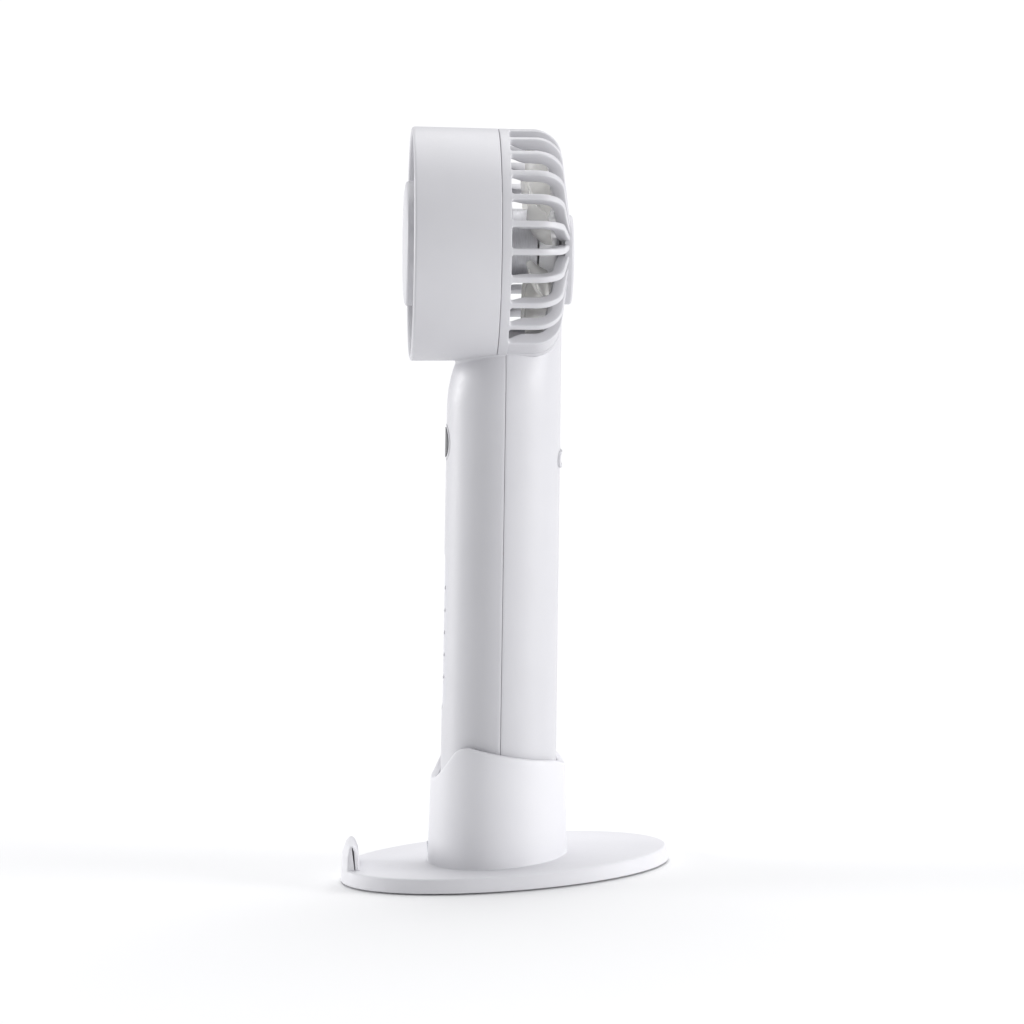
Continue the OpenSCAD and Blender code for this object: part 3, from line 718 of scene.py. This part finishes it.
def make_blind_plate():
    """Closes the lowest slots, over the handle's end."""
    half_angle = math.radians(35.5)
    outer_depth, inner_depth = 0.5, 2.2
    steps = 40
    least_r = 14

    def under_ribs(depth):
        face = [(r - depth * math.cos(a), y - depth * math.sin(a)) for r, y, a in guard_path()]
        return [point for point in face if point[0] > least_r]

    outline = under_ribs(outer_depth) + under_ribs(inner_depth)[::-1]
    rings = []
    for i in range(steps + 1):
        t = -math.pi / 2 - half_angle + 2 * half_angle * i / steps
        rings.append([(r * math.cos(t), y, HEAD_Z + r * math.sin(t)) for r, y in outline])
    shape = Shape()
    shape.loft(rings)
    build("guard_blind", shape, "fan", WHITE, ["rear_guard"])


def make_disc():
    """Flat disc on the back of the guard."""
    disc_low, disc_high = lean_box("rear_disc")
    inside = 17.4
    r = (disc_high.x - disc_low.x) / 2
    z = (disc_high.z + disc_low.z) / 2
    face = disc_high.y
    shape = Shape()
    edge = [(0, inside, 0), (r - 0.05, inside, 0), (r, face - 0.25, 0.85), (0, face, 0)]
    shape.revolve(rounded(edge, 6), 144, z)
    build("guard_disc", shape, "fan", WHITE, ["rear_disc"])


def make_cap():
    """Crowned cap in the middle of the front, hollow behind."""
    cap_low, cap_high = lean_box("front_cap")
    r = cap_high.x
    face = cap_low.y
    back = -27.5
    shape = Shape()
    crown = [(0, face, 0), (r - 3.2, face, 6), (r, face + 0.45, 0.9), (r, back, 0.25),
             (r - 1.5, back, 0.2), (r - 1.5, face + 2, 0.4), (0, face + 1.6, 0)]
    shape.revolve(rounded(crown, 6), 160)
    build("centre_cap", shape, "fan", WHITE, ["front_cap"])


def make_grille():
    """Two rims joined by swept vanes, set back in the ring."""
    front, back = -27.4, -23.8
    hub = 17.4
    root = hub - 0.4
    outer_r = lean_box("front_grille")[1].x
    sweep = math.radians(34)
    shape = Shape()
    shape.revolve(rounded([(hub - 3, front - 1.2, 0.3), (hub, front - 1.2, 0.3), (hub, back, 0.3),
                           (hub - 3, back, 0.3)], 3), 120)
    shape.revolve(rounded([(outer_r - 1.5, front - 0.4, 0.5), (outer_r, front - 0.4, 0.2),
                           (outer_r, back, 0.2), (outer_r - 1.5, back, 0.3)], 4), 160)
    vanes = 15
    for k in range(vanes):
        rings = []
        for i in range(19):
            t = i / 18
            r = root + (outer_r - 1.0 - root) * t
            a = -sweep * t ** 1.3 + 2 * math.pi * k / vanes
            slope = math.atan2(sweep * 1.3 * max(t, 0.02) ** 0.3 * r, outer_r - hub)
            normal = a - math.pi / 2 + slope
            ring = []
            for u, v in rounded([(-0.65, front, 0.5), (0.65, front, 0.5), (0.65, back, 0.35),
                                 (-0.65, back, 0.35)], 3):
                ring.append((r * math.cos(a) + u * math.cos(normal), v,
                             HEAD_Z + r * math.sin(a) + u * math.sin(normal)))
            rings.append(ring)
        shape.loft(rings)
    build("grille", shape, "fan", WHITE, ["front_grille"])


def blade_limit(r):
    """Furthest back that a blade may reach at radius r, clear of the guard's ribs."""
    bend_at = 27
    bend_radius = SHOULDER - 4.5
    slope = 0.145
    if r > bend_at:
        return STRAIGHT_Y + math.sqrt(max(0.0, bend_radius ** 2 - (r - bend_at) ** 2))
    return STRAIGHT_Y + bend_radius + slope * (bend_at - r)


def make_impeller():
    """Hollow hub with seven pitched, cambered blades."""
    high = lean_box("impeller")[1]
    hub_y0, hub_y1 = 9.6, high.y
    tip = high.x
    hub = 10.4
    root = hub - 0.35
    front = 5.4
    centre = Shape()
    centre.revolve(rounded([(1.0, hub_y0 + 0.2, 0.1), (3.2, hub_y0 + 0.2, 0.3), (3.2, hub_y1 - 1.4, 0.2),
                            (hub - 1.2, hub_y1 - 1.4, 0.4), (hub - 1.2, hub_y0, 0.3), (hub, hub_y0, 0.3),
                            (hub, hub_y1, 1.2), (1.0, hub_y1, 0.1)], 4), 96)
    build("impeller_hub", centre, "impeller", MILKY, ["impeller"])
    shape = Shape()
    blades = 7
    for k in range(blades):
        rings = []
        for i in range(17):
            t = i / 16
            r = root + (tip - root) * t
            pitch = math.radians(50 - 22 * t)
            back = blade_limit(r) - 0.4
            room = back - front
            chord = min(6.0 + 13.5 * t ** 0.7, room / math.sin(pitch))
            turn = 2 * math.pi * (k + 0.5) / blades + math.radians(14 * t ** 1.5 - 7)
            middle = back - room / 2
            thick = 0.55 - 0.15 * t
            ring = []
            span = [-1 + 2 * j / 10 for j in range(11)]
            for side in (1, -1):
                for s in span[::side]:
                    camber = 0.09 * chord * (1 - s * s)
                    half = thick * math.sqrt(max(0.02, 1 - s ** 4))
                    u = s * chord / 2
                    w = camber + side * half
                    tangential = u * math.cos(pitch) - w * math.sin(pitch)
                    along = u * math.sin(pitch) + w * math.cos(pitch)
                    ang = turn + tangential / r
                    ring.append((r * math.cos(ang), middle - along, HEAD_Z + r * math.sin(ang)))
            rings.append(ring)
        shape.loft(rings)
    build("blades", shape, "impeller", CLEAR, ["impeller"])


make_base()
make_lip()
make_collar()
make_handle()
make_ring()
make_guard()
make_blind_plate()
make_disc()
make_cap()
make_grille()
make_impeller()

for name in ("motor_bracket", "motor_can", "port_bezel", "button_bezel", "power_button", "grip_inlay",
             "usb_socket", "usb_tongue", "handle_end_cap", "seat_pad", "foot_pad"):
    finish_shading(NODES[name].data, 30)

# ------------------------------------------------------------------ camera, light and floor

CAMERA_TARGET = Vector((0.0, 0.00934, 0.1129))
CAMERA_DISTANCE = 1.55
CAMERA_TURN = math.radians(2.38)
CAMERA_RISE = math.radians(8.22)
CAMERA_ROLL = math.radians(3.64)
LENS = 175.8


def make_camera():
    """Long lens, a little above the object and rolled as in the picture."""
    away = Vector((math.cos(CAMERA_RISE) * math.cos(CAMERA_TURN),
                   -math.cos(CAMERA_RISE) * math.sin(CAMERA_TURN), math.sin(CAMERA_RISE)))
    data = bpy.data.cameras.new("camera")
    data.lens = LENS
    data.sensor_width = 36
    data.clip_end = 60
    camera = bpy.data.objects.new("camera", data)
    bpy.context.scene.collection.objects.link(camera)
    level = away.to_track_quat("Z", "Y").to_matrix()
    rolled = level @ Matrix.Rotation(-CAMERA_ROLL, 3, "Z")
    camera.matrix_world = Matrix.Translation(CAMERA_TARGET + away * CAMERA_DISTANCE) @ rolled.to_4x4()
    bpy.context.scene.camera = camera


def sun_light(name, toward, energy, spread_angle):
    """A sun that shines along `toward`, as wide as spread_angle degrees."""
    data = bpy.data.lights.new(name, "SUN")
    data.energy = energy
    data.angle = math.radians(spread_angle)
    light = bpy.data.objects.new(name, data)
    bpy.context.scene.collection.objects.link(light)
    light.rotation_euler = Vector(toward).to_track_quat("-Z", "Y").to_euler()


def make_floor():
    """Plain pale floor that reaches the horizon."""
    mesh = bpy.data.meshes.new("floor")
    size = 12
    mesh.from_pydata([(-size, -size, 0), (size, -size, 0), (size, size, 0), (-size, size, 0)], [],
                     [(0, 1, 2, 3)])
    floor = bpy.data.objects.new("floor", mesh)
    bpy.context.scene.collection.objects.link(floor)
    material, tree, shader, at = new_material("floor_paper")
    grain = spread(tree, noise(tree, at, 3, 3), 0, 1)
    paper = two_tone(tree, grain, (0.87, 0.87, 0.873), (0.86, 0.86, 0.865))
    tree.links.new(paper, shader.inputs["Base Color"])
    shader.inputs["Roughness"].default_value = 0.9
    shader.inputs["Specular IOR Level"].default_value = 0.1
    mesh.materials.append(material)


def make_light():
    """Even sky, a broad overhead light from behind and a low light along each side."""
    world = bpy.data.worlds.new("studio")
    world.use_nodes = True
    background = world.node_tree.nodes["Background"]
    background.inputs["Color"].default_value = (0.975, 0.98, 1.0, 1)
    background.inputs["Strength"].default_value = 0.45
    bpy.context.scene.world = world
    sun_light("overhead", (0.5, -0.12, -1), 2.0, 62)
    sun_light("back_side", (-0.5, -1.1, -0.17), 2.2, 22)
    sun_light("front_side", (0.45, 1.1, -0.17), 1.9, 22)


make_camera()
make_light()
make_floor()
bpy.context.scene.view_settings.view_transform = "Standard"
bpy.context.scene.view_settings.look = "None"
